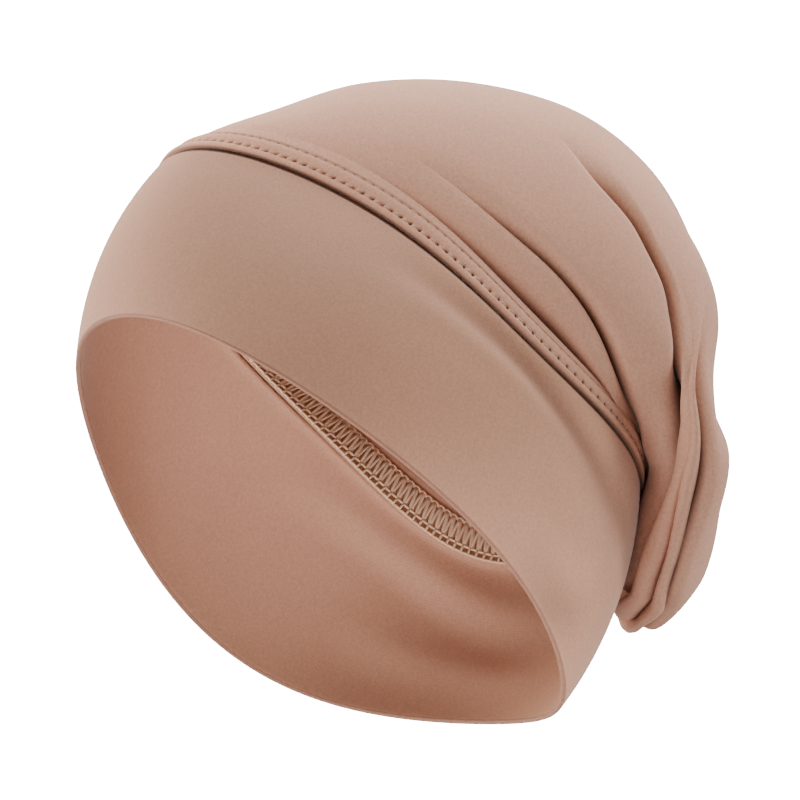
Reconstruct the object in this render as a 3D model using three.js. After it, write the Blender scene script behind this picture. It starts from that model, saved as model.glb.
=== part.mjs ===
// A slouchy jersey head cover: a wide double brow band, an overlocked seam allowance inside it,
// and a loose crown whose back hangs over the nape in soft folds.
// Millimetres. +Z is up as worn, the brow faces -Y and the wearer's left is +X.
// The origin is the inside of the crown's highest point, where a head holds the cap up.

import * as THREE from 'three';

const DEG = Math.PI / 180;

// Cloth thicknesses
const CROWN_WALL = 1.2;
const BAND_WALL = 2.0;
const ALLOWANCE_WALL = 1.5;
const PIECE_GAP = 0.3;

// The band stands out between its two edges by this much
const BAND_BULGE = 5.5;

// How finely the cloth is divided
const AROUND = 80;
const BAND_ROWS = 6;
// Rows of cloth from the ridge to the first fold valley, from valley to valley, and from the last
// one to the bag's centre, where they spread
const ROWS_BETWEEN = [2, 3, 4, 4, 9];
const ROW_SPREAD = 1.6;

// An opening's edge as a tilted ring. length, breadth and rise hold the size of the first, second
// and third swing along the head, across it and out of the ring's own plane.
const RIM = {
  tilt: 35.3, y: -48, z: -164,
  length: [98, 0.6, -1.8], breadth: [77, 4.5, -6.3], rise: [5.6, 1.7, -1.4],
};
const SEAM = {
  tilt: 36.1, y: -21.6, z: -95,
  length: [94, 3.6, 1.5], breadth: [71.1, -2.8, 3.4], rise: [4, -3.3, 1.9],
};

// Arches across the crown, from the brow over the top and the hanging back to the nape. Each one
// starts and ends on the seam at the angle edge, and crosses the middle at (y, z). out and rise
// shape its flank, flat is half the width of its level top.
const ARCHES = [
  { edge: 0, y: -100, z: -34.5, out: 0, rise: 0.5, flat: 0 },
  { edge: 22, y: -90, z: -31.3, out: 3, rise: 0.6, flat: 12 },
  { edge: 45, y: -67, z: -19.2, out: 6, rise: 0.6, flat: 26 },
  { edge: 68, y: -37, z: -4.4, out: 9, rise: 0.6, flat: 39 },
  { edge: 90, y: 0, z: 1.8, out: 11, rise: 0.6, flat: 44 },
  { edge: 108, y: 37, z: -4.4, out: 12, rise: 0.6, flat: 46 },
  { edge: 122, y: 64.3, z: -24.6, out: 13, rise: 0.55, flat: 48 },
  { edge: 134, y: 79, z: -54, out: 15, rise: 0.5, flat: 50 },
  { edge: 144, y: 82.6, z: -84, out: 20, rise: 0.45, flat: 53 },
  { edge: 152, y: 80.8, z: -112, out: 28, rise: 0.4, flat: 57 },
  { edge: 159, y: 83.2, z: -140, out: 36, rise: 0.35, flat: 58 },
  { edge: 164, y: 79.3, z: -165, out: 40, rise: 0.3, flat: 52 },
  { edge: 169, y: 66, z: -180, out: 40, rise: 0.25, flat: 40 },
  { edge: 174, y: 54, z: -167, out: 22, rise: 0.3, flat: 22 },
  { edge: 180, y: 58, z: -142, out: 0, rise: 0.5, flat: 0 },
];

// The bag's last point, where its rings close, as a fraction of the way from brow to nape
const BAG_CENTRE = 0.6;

// Height of the stitched ridge over the crown, by distance from the seam
const RIDGE = [
  { at: 0, height: 1 },
  { at: 1.2, height: 1.35 },
  { at: 6.5, height: 1.35 },
  { at: 9, height: 0.4 },
  { at: 12, height: 0 },
];

// The ridge runs on in line with the band between these angles round the seam, and the bag has
// left it within reach of the seam. Where the bag turns back over the band it stands off in a loop.
const RIDGE_LINE = { from: 50, to: 150, width: 9, reach: 33, loop: 6 };

// Valleys of the hanging back's folds, as their distance from the seam at each turn. turn runs
// round the seam from 0 at the brow to 1 at the nape, alike on both sides. The first lies behind
// the ridge, the third is the deep crease and the fourth the wide hollow outside it.
const VALLEY_LINES = [
  { turn: 0.0, first: 24, second: 50, third: 100, fourth: 165 },
  { turn: 0.1, first: 18, second: 40, third: 92, fourth: 150 },
  { turn: 0.2, first: 14, second: 27, third: 78, fourth: 125 },
  { turn: 0.3, first: 13, second: 25.5, third: 69, fourth: 102 },
  { turn: 0.4, first: 13.5, second: 26.5, third: 61, fourth: 84 },
  { turn: 0.5, first: 12.5, second: 21, third: 44, fourth: 62 },
  { turn: 0.6, first: 11.5, second: 16.5, third: 29, fourth: 44 },
  { turn: 0.7, first: 11.5, second: 15.5, third: 24, fourth: 34 },
  { turn: 0.8, first: 11.5, second: 16, third: 23, fourth: 34 },
  { turn: 0.9, first: 12, second: 17, third: 25, fourth: 41 },
  { turn: 1.0, first: 12, second: 18, third: 30, fourth: 46 },
];
const VALLEY_DEPTHS = [
  { turn: 0.0, first: 0, second: 0, third: 0, fourth: 0 },
  { turn: 0.1, first: 0, second: 0, third: 0, fourth: 0 },
  { turn: 0.2, first: 0.3, second: 0, third: 0, fourth: 0 },
  { turn: 0.3, first: 2.2, second: 2, third: 1.5, fourth: 0 },
  { turn: 0.4, first: 3.2, second: 4.5, third: 6.5, fourth: 0 },
  { turn: 0.5, first: 2.4, second: 4.5, third: 7.5, fourth: 0.5 },
  { turn: 0.6, first: 1, second: 3, third: 6, fourth: 1.5 },
  { turn: 0.7, first: 0.5, second: 1.5, third: 4, fourth: 2.5 },
  { turn: 0.8, first: 0, second: 0.5, third: 2.5, fourth: 3 },
  { turn: 0.9, first: 0, second: 0, third: 1.5, fourth: 2 },
  { turn: 1.0, first: 0, second: 0, third: 0, fourth: 0 },
];
// Widths of each valley's two flanks, and how high its lips stand as a share of its depth
const VALLEY_WIDTHS = {
  first: { near: 3.5, far: 5 },
  second: { near: 4, far: 5.5 },
  third: { near: 4.5, far: 6 },
  fourth: { near: 6, far: 8 },
};
const RAISED_LIPS = 0.3;

// Colours and finish
const jersey = (color, roughness) => new THREE.MeshStandardMaterial({ color, roughness, metalness: 0 });
const BAND_JERSEY = jersey('#bf9a85', 0.9);
const CROWN_JERSEY = jersey('#c5a391', 0.9);
const OVERLOCK = jersey('#bd9c80', 0.95);

// Small helpers
const clamp = (value, low, high) => Math.min(high, Math.max(low, value));
const mix = (a, b, k) => a + (b - a) * k;
const smooth = (from, to, value) => {
  const k = clamp((value - from) / (to - from), 0, 1);
  return k * k * (3 - 2 * k);
};

// A smooth curve through the named columns of a table's rows, at 0 to 1
function alongTable(rows, columns, fraction) {
  const last = rows.length - 1;
  const place = clamp(fraction, 0, 1) * last;
  const i = Math.min(Math.floor(place), last - 1);
  const k = place - i;
  const result = {};
  for (const column of columns) {
    const at = (row) => rows[row][column];
    const b = at(i);
    const c = at(i + 1);
    const a = i > 0 ? at(i - 1) : 2 * b - c;
    const d = i + 2 <= last ? at(i + 2) : 2 * c - b;
    result[column] = 0.5 * (2 * b + (c - a) * k + (2 * a - 5 * b + 4 * c - d) * k * k
      + (3 * b - a - 3 * c + d) * k * k * k);
  }
  return result;
}

// Straight steps through a table of { at, height }
function profile(rows, at) {
  for (let i = 1; i < rows.length; i += 1) {
    if (at <= rows[i].at) {
      const k = (at - rows[i - 1].at) / (rows[i].at - rows[i - 1].at);
      return mix(rows[i - 1].height, rows[i].height, clamp(k, 0, 1));
    }
  }
  return rows[rows.length - 1].height;
}

// A point on a ring; angle 0 is the brow, 90 degrees the wearer's left
function ringPoint(ring, angle) {
  const [long1, long2, long3] = ring.length;
  const [wide1, wide2, wide3] = ring.breadth;
  const [rise2, rise3, rise4] = ring.rise;
  const forward = long1 * Math.cos(angle) + long2 * Math.cos(2 * angle) + long3 * Math.cos(3 * angle);
  const side = wide1 * Math.sin(angle) + wide2 * Math.sin(2 * angle) + wide3 * Math.sin(3 * angle);
  const out = rise2 * Math.cos(2 * angle) + rise3 * Math.cos(3 * angle) + rise4 * Math.cos(4 * angle);
  const cos = Math.cos(ring.tilt * DEG);
  const sin = Math.sin(ring.tilt * DEG);
  return new THREE.Vector3(side, ring.y - forward * cos + out * sin, ring.z + forward * sin + out * cos);
}

// The first and last arches shrink to the seam's own end points
for (const arch of [ARCHES[0], ARCHES[ARCHES.length - 1]]) {
  const end = ringPoint(SEAM, arch.edge * DEG);
  arch.y = end.y;
  arch.z = end.z;
}

// The unfolded crown: along 0 brow to 1 nape, across -1 right seam to 1 left seam
function crownPoint(along, across) {
  const arch = alongTable(ARCHES, ['edge', 'y', 'z', 'out', 'rise', 'flat'], along);
  const edge = ringPoint(SEAM, arch.edge * DEG);
  const a = 1 - Math.abs(across);
  const b0 = (1 - a) ** 3;
  const b1 = 3 * a * (1 - a) ** 2;
  const b2 = 3 * a * a * (1 - a);
  const b3 = a ** 3;
  const half = b0 * edge.x + b1 * (edge.x + arch.out) + b2 * arch.flat;
  const lift = b1 * arch.rise + b2 + b3;
  return new THREE.Vector3(
    half * Math.sign(across),
    mix(edge.y, arch.y, lift),
    mix(edge.z, arch.z, lift),
  );
}

// Rings shrink from the seam, 1, to the bag's centre, 0
function onRings(turn, ring) {
  const middle = Math.cos(Math.PI * BAG_CENTRE);
  const u = ring * Math.cos(Math.PI * turn) + middle * (1 - ring);
  const v = ring * Math.sin(Math.PI * turn);
  const width = Math.sqrt(Math.max(1 - u * u, 1e-12));
  return crownPoint(Math.acos(clamp(u, -1, 1)) / Math.PI, clamp(v / width, -1, 1));
}

// A point on the band's outer face; v is 0 at the rim and 1 at the seam
function bandPoint(angle, v) {
  const place = (at) => ringPoint(RIM, at).lerp(ringPoint(SEAM, at), v);
  const round = place(angle + 0.01).sub(place(angle - 0.01));
  const up = ringPoint(SEAM, angle).sub(ringPoint(RIM, angle));
  const normal = round.cross(up).normalize();
  return place(angle).addScaledVector(normal, BAND_BULGE * 4 * v * (1 - v));
}
const seamAngle = (turn) => alongTable(ARCHES, ['edge'], turn).edge * DEG;

// The crown's line from the seam at one turn to the bag's centre: straight across the ridge, in
// a curve away from it, and then over the unfolded crown
function crownLine(turn) {
  const STEPS = 120;
  const points = Array.from({ length: STEPS + 1 }, (_, i) => onRings(turn, 1 - i / STEPS));
  const lengths = [0];
  for (let i = 1; i <= STEPS; i += 1) lengths.push(lengths[i - 1] + points[i].distanceTo(points[i - 1]));
  const onBag = (distance) => {
    const found = lengths.findIndex((length) => length >= distance);
    const i = found < 0 ? STEPS : Math.max(found, 1);
    const k = clamp((distance - lengths[i - 1]) / (lengths[i] - lengths[i - 1]), 0, 1);
    return points[i - 1].clone().lerp(points[i], k);
  };
  const { from, to, width, reach } = RIDGE_LINE;
  const angle = seamAngle(turn);
  const seam = ringPoint(SEAM, angle);
  const band_up = seam.clone().sub(bandPoint(angle, 0.97)).normalize();
  const bag_up = onBag(width).sub(seam).normalize();
  const ridge_up = bag_up.lerp(band_up, smooth(from * DEG, to * DEG, angle)).normalize();
  if (turn === 0 || turn === 1) ridge_up.x = 0;
  const ridge_top = seam.clone().addScaledVector(ridge_up, width);
  const bag = onBag(reach);
  const bag_way = onBag(reach + 1).sub(onBag(reach - 1)).divideScalar(2);
  const third = (reach - width) / 3;
  const round = ringPoint(SEAM, angle + 0.01).sub(ringPoint(SEAM, angle - 0.01));
  const out = round.cross(ridge_up).normalize();
  const stand_off = RIDGE_LINE.loop * smooth(0.3, -0.7, ridge_up.dot(bag_way));
  const curve = new THREE.CubicBezierCurve3(
    ridge_top,
    ridge_top.clone().addScaledVector(ridge_up, 0.8 * third).addScaledVector(out, stand_off * 0.6),
    bag.clone().addScaledVector(bag_way, -third).addScaledVector(out, stand_off),
    bag,
  );
  return {
    total: lengths[STEPS],
    at: (distance) => {
      if (distance <= width) return seam.clone().addScaledVector(ridge_up, distance);
      if (distance < reach) return curve.getPoint((distance - width) / (reach - width));
      return onBag(distance);
    },
  };
}

// Any place on the unfolded crown by turn and distance from the seam
function crownAt(turn, distance) {
  const round = ((((turn + 1) % 2) + 2) % 2) - 1;
  const point = crownLine(Math.abs(round)).at(distance);
  if (round < 0) point.x = -point.x;
  return point;
}

// Each valley as points with their directions, on the left side and mirrored on the right
const VALLEY_STEPS = 60;
function valley(name) {
  const points = Array.from({ length: VALLEY_STEPS + 1 }, (_, i) => {
    const turn = i / VALLEY_STEPS;
    const inward = alongTable(VALLEY_LINES, [name], turn)[name];
    const round = crownAt(turn + 0.01, inward).sub(crownAt(turn - 0.01, inward));
    const up = crownAt(turn, inward + 1).sub(crownAt(turn, inward - 1));
    return {
      ...VALLEY_WIDTHS[name],
      depth: Math.max(alongTable(VALLEY_DEPTHS, [name], turn)[name], 0),
      at: crownAt(turn, inward),
      normal: round.cross(up).normalize(),
    };
  });
  points.forEach((point, i) => {
    const run = points[Math.min(i + 1, VALLEY_STEPS)].at.clone().sub(points[Math.max(i - 1, 0)].at);
    point.step = run.length() / 2;
    point.run = run.normalize();
    point.far_side = point.normal.clone().cross(point.run).normalize();
  });
  return points;
}
const flip = (vector) => new THREE.Vector3(-vector.x, vector.y, vector.z);
const mirrored = (points) => points.map((point) => ({
  ...point,
  at: flip(point.at),
  normal: flip(point.normal),
  run: flip(point.run),
  far_side: flip(point.far_side),
}));
const VALLEY_NAMES = Object.keys(VALLEY_WIDTHS);
const VALLEYS = VALLEY_NAMES.map(valley).map((points) => [points, mirrored(points)]);

// How far the folds move a point of the crown in or out
function foldDepth(point, normal) {
  let total = 0;
  for (const sides of VALLEYS) {
    const points = point.x < 0 ? sides[1] : sides[0];
    let best = points[0];
    let nearest = Infinity;
    for (const station of points) {
      const gap = station.at.distanceToSquared(point);
      if (gap < nearest) {
        nearest = gap;
        best = station;
      }
    }
    const offset = point.clone().sub(best.at);
    const slide = clamp(offset.dot(best.run), -best.step, best.step);
    offset.addScaledVector(best.run, -slide);
    const distance = offset.length();
    const far = offset.dot(best.far_side) > 0;
    const width = far ? best.far : best.near;
    const same_sheet = clamp((normal.dot(best.normal) + 0.2) / 0.5, 0, 1);
    const hollow = Math.exp(-((distance / width) ** 2));
    const lip = Math.exp(-(((distance - 2.2 * width) / (1.6 * width)) ** 2));
    total += best.depth * same_sheet * (RAISED_LIPS * lip - hollow);
  }
  return total;
}

// Turns round the opening, left side then right
const TURNS = Array.from({ length: AROUND }, (_, i) => (2 * i) / AROUND);

// The crown's unfolded face as rows that follow the valleys, each a full turn, first the seam's
const EDGE_ROWS = [0, 1.2, 3.5, 6, 9];
function crownRows() {
  const columns = TURNS.map((turn) => {
    const right = turn > 1;
    const line = crownLine(right ? 2 - turn : turn);
    const lines = alongTable(VALLEY_LINES, VALLEY_NAMES, right ? 2 - turn : turn);
    const stops = [RIDGE_LINE.width, ...VALLEY_NAMES.map((name) => lines[name]), line.total];
    const distances = [...EDGE_ROWS];
    ROWS_BETWEEN.forEach((rows, k) => {
      const spread = k === ROWS_BETWEEN.length - 1 ? ROW_SPREAD : 1;
      for (let i = 1; i <= rows; i += 1) {
        distances.push(mix(stops[k], stops[k + 1], (i / rows) ** spread));
      }
    });
    distances.pop();
    return distances.map((distance) => {
      const point = line.at(distance);
      return { point: right ? flip(point) : point, distance };
    });
  });
  return columns[0].map((_, row) => columns.map((column) => column[row]));
}

// Outward normals of a net of points that closes round each row
function netNormals(rows) {
  const last = rows.length - 1;
  return rows.map((row, j) => row.map((point, i) => {
    const round = row[(i + 1) % row.length].clone().sub(row[(i + row.length - 1) % row.length]);
    const up = rows[Math.min(j + 1, last)][i].clone().sub(rows[Math.max(j - 1, 0)][i]);
    const normal = round.cross(up);
    return normal.lengthSq() > 1e-9 ? normal.normalize() : normal;
  }));
}
const offsetNet = (rows, normals, distance) => rows.map((row, j) => row.map(
  (point, i) => point.clone().addScaledVector(normals[j][i], distance),
));

// One closed body from rows of points that each close round. The rows either close on
// themselves or end at a single point at both ends.
function closedBody(rows, ends) {
  const positions = [];
  const index = [];
  const around = rows[0].length;
  for (const row of rows) for (const point of row) positions.push(point.x, point.y, point.z);
  const quad = (a, b, c, d) => index.push(a, b, c, a, c, d);
  const joins = ends ? rows.length - 1 : rows.length;
  for (let j = 0; j < joins; j += 1) {
    const next = (j + 1) % rows.length;
    for (let i = 0; i < around; i += 1) {
      const k = (i + 1) % around;
      quad(j * around + i, j * around + k, next * around + k, next * around + i);
    }
  }
  if (ends) {
    const cap = (end, row, turn) => {
      const centre = positions.length / 3;
      positions.push(end.x, end.y, end.z);
      for (let i = 0; i < around; i += 1) {
        const k = (i + 1) % around;
        const [a, b] = turn ? [k, i] : [i, k];
        index.push(row * around + a, row * around + b, centre);
      }
    };
    cap(ends[0], 0, true);
    cap(ends[1], rows.length - 1, false);
  }
  const geometry = new THREE.BufferGeometry();
  geometry.setAttribute('position', new THREE.Float32BufferAttribute(positions, 3));
  geometry.setIndex(index);
  geometry.computeVertexNormals();
  return geometry;
}

// Crown: a bag of single jersey with its folds, and the stitched ridge at its edge
const crown_rows = crownRows();
const bag_end = onRings(0, 0);
const plain_rows = crown_rows.map((row) => row.map(({ point }) => point));
const plain_normals = netNormals(plain_rows);
const outer_rows = plain_rows.map((row, j) => row.map((point, i) => {
  const { distance } = crown_rows[j][i];
  const normal = plain_normals[j][i];
  const fold = foldDepth(point, normal) * smooth(8, 13, distance);
  return point.clone().addScaledVector(normal, fold + profile(RIDGE, distance));
}));
const outer_normals = netNormals(outer_rows);
const inner_rows = offsetNet(outer_rows, outer_normals, -CROWN_WALL);
const end_normal = outer_normals[outer_rows.length - 1]
  .reduce((sum, normal) => sum.add(normal), new THREE.Vector3()).normalize();

function crownGeometry() {
  const inner_end = bag_end.clone().addScaledVector(end_normal, -CROWN_WALL);
  return closedBody([...inner_rows].reverse().concat(outer_rows), [inner_end, bag_end]);
}

// Seam allowance: the overlocked edge, turned up inside the crown's ridge
function allowanceGeometry() {
  const ridge = outer_rows.slice(1, EDGE_ROWS.length);
  const normals = netNormals(ridge);
  const top = offsetNet(ridge, normals, -CROWN_WALL - PIECE_GAP);
  const low = offsetNet(top, normals, -ALLOWANCE_WALL);
  return closedBody([...low].reverse().concat(top), null);
}

// Band: two layers of jersey, folded at the rim
function bandGeometry() {
  const TOP = 0.992;
  const rows = [];
  for (let j = 0; j <= BAND_ROWS; j += 1) {
    rows.push(TURNS.map((turn) => {
      const right = turn > 1;
      const point = bandPoint(seamAngle(right ? 2 - turn : turn), (TOP * j) / BAND_ROWS);
      return right ? flip(point) : point;
    }));
  }
  const normals = netNormals(rows);
  const inner = offsetNet(rows, normals, -BAND_WALL);
  return closedBody([...inner].reverse().concat(rows), null);
}

const cap = new THREE.Group();
cap.name = 'chemo_cap';
for (const [name, geometry, material] of [
  ['band', bandGeometry(), BAND_JERSEY],
  ['crown', crownGeometry(), CROWN_JERSEY],
  ['seam_allowance', allowanceGeometry(), OVERLOCK],
]) {
  const mesh = new THREE.Mesh(geometry, material);
  mesh.name = name;
  cap.add(mesh);
}

export default cap;
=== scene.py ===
# A slouchy jersey cap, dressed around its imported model: a wide double brow band, a loose crown
# whose back hangs over the nape in deep folds, two rows of topstitching on the crown's edge and
# an overlocked seam allowance inside. Shapes are worked out in millimetres, with +Z up as worn,
# the brow towards -Y and the wearer's left towards +X, and turned to metres as meshes are made.

import math

import bpy
import numpy as np
from mathutils import Matrix, Vector


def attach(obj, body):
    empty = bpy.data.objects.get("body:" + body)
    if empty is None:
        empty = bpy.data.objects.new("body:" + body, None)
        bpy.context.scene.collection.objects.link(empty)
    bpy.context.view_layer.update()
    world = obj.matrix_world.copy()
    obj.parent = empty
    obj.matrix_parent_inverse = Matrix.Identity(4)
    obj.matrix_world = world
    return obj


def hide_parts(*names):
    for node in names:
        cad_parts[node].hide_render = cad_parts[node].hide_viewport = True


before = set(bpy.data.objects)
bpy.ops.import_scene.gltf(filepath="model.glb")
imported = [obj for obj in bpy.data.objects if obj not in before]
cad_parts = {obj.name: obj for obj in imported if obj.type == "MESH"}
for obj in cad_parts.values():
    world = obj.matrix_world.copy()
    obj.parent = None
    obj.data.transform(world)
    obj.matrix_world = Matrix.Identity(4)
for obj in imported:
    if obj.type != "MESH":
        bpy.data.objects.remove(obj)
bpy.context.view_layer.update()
MM = 0.001

# Cloth and thread sizes
CROWN_CLOTH = 0.9
BAND_CLOTH = 1.9
TOPSTITCH_THREAD = 0.3
LOOPER_THREAD = 0.46

# The brow band stands out between its two edges by this much
BAND_BULGE = 5.5

# An opening's edge as a tilted ring. length, breadth and rise hold the size of the first, second
# and third swing along the head, across it and out of the ring's own plane.
RIM = {
    "tilt": 35.3, "y": -48, "z": -164,
    "length": (98, 0.6, -1.8), "breadth": (77, 4.5, -6.3), "rise": (5.6, 1.7, -1.4),
}
SEAM = {
    "tilt": 36.1, "y": -21.6, "z": -95,
    "length": (94, 3.6, 1.5), "breadth": (71.1, -2.8, 3.4), "rise": (4, -3.3, 1.9),
}

# Arches across the crown, from the brow over the top and the hanging back to the nape. Each one
# starts and ends on the seam at the angle edge, and crosses the middle at (y, z). out and rise
# shape its flank, flat is half the width of its level top.
ARCHES = [
    # edge, y, z, out, rise, flat
    (0, -100, -34.5, 0, 0.5, 0),
    (22, -90, -31.3, 3, 0.6, 12),
    (45, -67, -19.2, 6, 0.6, 26),
    (68, -37, -4.4, 9, 0.6, 39),
    (90, 0, 1.8, 11, 0.6, 44),
    (108, 37, -4.4, 12, 0.6, 46),
    (122, 64.3, -24.6, 13, 0.55, 48),
    (134, 79, -54, 15, 0.5, 50),
    (144, 82.6, -84, 20, 0.45, 53),
    (152, 80.8, -112, 28, 0.4, 57),
    (159, 83.2, -140, 36, 0.35, 58),
    (164, 79.3, -165, 40, 0.3, 52),
    (169, 66, -180, 40, 0.25, 40),
    (174, 54, -167, 22, 0.3, 22),
    (180, 58, -142, 0, 0.5, 0),
]

# The bag's last point, where its rings close, as a fraction of the way from brow to nape
BAG_CENTRE = 0.6

# The ridge runs on in line with the band between these angles round the seam, and the bag has
# left it within reach of the seam. Where the bag turns back over the band it stands off in a loop.
RIDGE_LINE = {"from": 50, "to": 150, "width": 9, "reach": 33, "loop": 6}

# Height of the stitched ridge over the crown by distance from the seam: a rolled edge, the groove
# of the first needle row, the padded ridge over the allowance and the groove of the second row
RIDGE = [
    # distance, height
    (0, 0.0), (0.35, 0.9), (1.1, 1.35), (2.2, 1.2), (3.0, 0.75), (3.8, 1.15),
    (5.4, 1.4), (6.8, 1.15), (7.5, 0.45), (8.2, 0.7), (9.4, 0.4), (12, 0),
]
FIRST_ROW = 3.0
SECOND_ROW = 7.5
# The folds begin between these distances from the seam, past the second row
FOLDS_BEGIN = (7.8, 9.4)

# Fold valleys of the hanging back, from the one behind the ridge outwards. turn runs round the seam
# from 0 at the brow to 1 at the nape; inward is the valley's distance from the seam and depth how
# far it sinks. near is the width of the flank on the seam's side, which rolls over in a lip that
# leans across the valley by lean, and far the width of the other flank, which rises softly. swell is
# how high the cloth stands between the valley and the one before it.
VALLEYS = {
    # turn, inward, depth, near, far, lean, swell
    "behind the ridge": [
        (0.00, 14, 0, 2.5, 7, 0, 0),
        (0.14, 12.5, 0, 2.5, 7, 0, 0),
        (0.21, 12.2, 0.6, 2.5, 8, 0, 0),
        (0.27, 12.0, 2.8, 2.3, 8, 0, 0),
        (0.34, 12.2, 5.6, 2.2, 7.5, 0, 0),
        (0.43, 12.6, 7.2, 2.2, 7, 0, 0),
        (0.50, 11.8, 6.6, 2.0, 5.5, 0, 0),
        (0.56, 10.9, 4, 1.8, 4.4, 0, 0),
        (0.62, 10.6, 3, 1.6, 3.6, 0, 0),
        (0.72, 10.6, 2.4, 1.6, 3, 0, 0),
        (0.85, 11.2, 3.2, 1.8, 3, 0, 0),
        (1.00, 12, 2.8, 1.8, 3, 0, 0),
    ],
    "between the first two lobes": [
        (0.00, 32, 0, 4, 8, 0, 0),
        (0.14, 27, 0, 4, 8, 0, 0),
        (0.22, 24.5, 0, 4, 8, 0, 0),
        (0.27, 24.6, 1.8, 3.6, 7, 0.2, 0.2),
        (0.31, 25.2, 4, 3, 5.5, 0.4, 0.4),
        (0.36, 26.2, 5.6, 2.6, 4.4, 0.5, 0.8),
        (0.41, 25.4, 6.2, 2.4, 3.8, 0.6, 1.1),
        (0.46, 23.2, 6.4, 2.4, 3.4, 0.6, 1.4),
        (0.53, 19.8, 6.2, 2.4, 3, 0.5, 1.8),
        (0.60, 18, 5.4, 2.4, 2.8, 0.4, 2.2),
        (0.67, 17.6, 4.4, 2.2, 2.6, 0.3, 2.4),
        (0.76, 17.4, 4.2, 2, 2.6, 0.2, 2.4),
        (0.86, 18, 4.4, 2, 2.6, 0.3, 2.4),
        (1.00, 19, 3.6, 2, 3, 0.2, 2),
    ],
    "deep crease": [
        (0.00, 104, 0, 6, 12, 0, 0),
        (0.14, 88, 0, 6, 12, 0, 0),
        (0.24, 73, 0, 6, 12, 0, 0),
        (0.30, 68.0, 3, 5, 8, 0.2, 0.3),
        (0.33, 67.0, 6.8, 4, 5.6, 0.5, 0.6),
        (0.36, 65.2, 10, 3.4, 4.4, 0.8, 1),
        (0.40, 60.2, 12.5, 3, 4, 1, 1.4),
        (0.45, 53.5, 14.5, 2.8, 3.8, 1, 1.8),
        (0.52, 41, 15, 2.6, 3.6, 1, 1.8),
        (0.60, 29.5, 13.5, 2.4, 3.2, 1, 2.2),
        (0.70, 23.6, 11, 2.3, 2.8, 0.8, 3),
        (0.80, 23.4, 9, 2.2, 2.4, 0.6, 3.6),
        (0.88, 26, 6.2, 2.2, 2.4, 0.5, 4),
        (0.94, 28.5, 5.4, 2.2, 2.4, 0.4, 3.4),
        (1.00, 30.5, 4.4, 2.2, 2.4, 0.2, 2.6),
    ],
    "notch under the bag": [
        (0.00, 136, 0, 4, 6, 0, 0),
        (0.30, 86, 0, 4, 6, 0, 0),
        (0.50, 53, 0, 4, 6, 0, 0),
        (0.70, 28.4, 0, 2, 3, 0, 0.4),
        (0.80, 29, 0, 2, 3, 0, 0.6),
        (0.88, 32.4, 0.6, 2, 3, 0, 1),
        (0.93, 36.6, 3.2, 2, 2.4, 0.2, 1.4),
        (0.97, 39.6, 4.6, 2, 2.2, 0.3, 1.6),
        (1.00, 38.4, 4.6, 2, 2.2, 0.2, 1.6),
    ],
    "wide outer hollow": [
        (0.00, 168, 0, 10, 14, 0, 0),
        (0.30, 104, 0, 10, 14, 0, 0),
        (0.50, 64, 0, 9, 13, 0, 0.4),
        (0.58, 48, 1.4, 8, 12, 0, 0.6),
        (0.65, 36.5, 3, 6, 11, 0, 0.8),
        (0.71, 32, 4.6, 4.6, 10, 0, 1),
        (0.80, 34, 6, 4, 9, 0.1, 1.2),
        (0.88, 39.4, 6.6, 4, 8, 0.2, 1.4),
        (0.94, 44.4, 6.2, 3.6, 7, 0.2, 1.4),
        (1.00, 46, 4.4, 3.4, 6, 0.1, 1),
    ],
}
# How soft each valley's near flank is, from 0, a rolled lip, to 1, an open hollow, and how its far
# flank rises: 1 is straight and 2 a soft hollow
FLANKS = {
    # softness, far_rise
    "behind the ridge": (0.2, 1.7),
    "between the first two lobes": (0.15, 1.5),
    "deep crease": (0.0, 1.15),
    "notch under the bag": (0.2, 1.4),
    "wide outer hollow": (1.0, 2.0),
}
# How far the first lobe rolls back over the ridge, and how high it then stands
ROLL = [
    # turn, over, lift
    (0.00, 0, 0), (0.38, 0, 0), (0.46, 0.6, 0.3), (0.52, 1.8, 0.9), (0.58, 3.6, 1.6), (0.64, 5.4, 2.2),
    (0.72, 6.4, 2.4), (0.80, 5.4, 2), (0.90, 3, 1), (1.00, 2, 0.6),
]
# The soft drape over the bag beyond its creases: its distance from the seam and how high it stands
DRAPE = [
    # turn, distance, height
    (0.00, 150, 0), (0.16, 145, 0), (0.23, 133, -1.8), (0.28, 124, -1.5), (0.34, 114, 0), (0.42, 98, 1.5),
    (0.50, 84, 1.2), (0.58, 72, 0.5), (0.66, 66, 0), (0.74, 60, -0.6), (0.82, 58, -1.8), (0.88, 64, 0.8),
    (0.94, 68, -0.8), (1.00, 64, 1),
]
DRAPE_WIDTH = 24
# No flank takes more than this share of the way to the next valley
FLANK_SHARE = 0.48
# The wearer's right has the same folds with these changes, as cloth never falls twice alike
RIGHT_SIDE = {"inward": 0.06, "depth": -0.14, "width": 0.12, "slip": 0.02}


def clamp01(value):
    return np.clip(value, 0.0, 1.0)


def smooth(start, end, value):
    k = clamp01((value - start) / (end - start))
    return k * k * (3 - 2 * k)


def unit(vectors):
    return vectors / np.maximum(np.linalg.norm(vectors, axis=-1, keepdims=True), 1e-9)


def along_table(rows, fraction):
    """A smooth curve through a table's rows, at 0 to 1, with one result column for each of theirs."""
    table = np.asarray(rows, float)
    last = len(table) - 1
    place = clamp01(np.asarray(fraction, float)) * last
    i = np.minimum(place.astype(int), last - 1)
    k = (place - i)[..., None]
    b = table[i]
    c = table[i + 1]
    a = np.where((i > 0)[..., None], table[np.maximum(i - 1, 0)], 2 * b - c)
    d = np.where((i + 2 <= last)[..., None], table[np.minimum(i + 2, last)], 2 * c - b)
    return 0.5 * (
        2 * b + (c - a) * k + (2 * a - 5 * b + 4 * c - d) * k**2 + (3 * b - a - 3 * c + d) * k**3
    )


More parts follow.
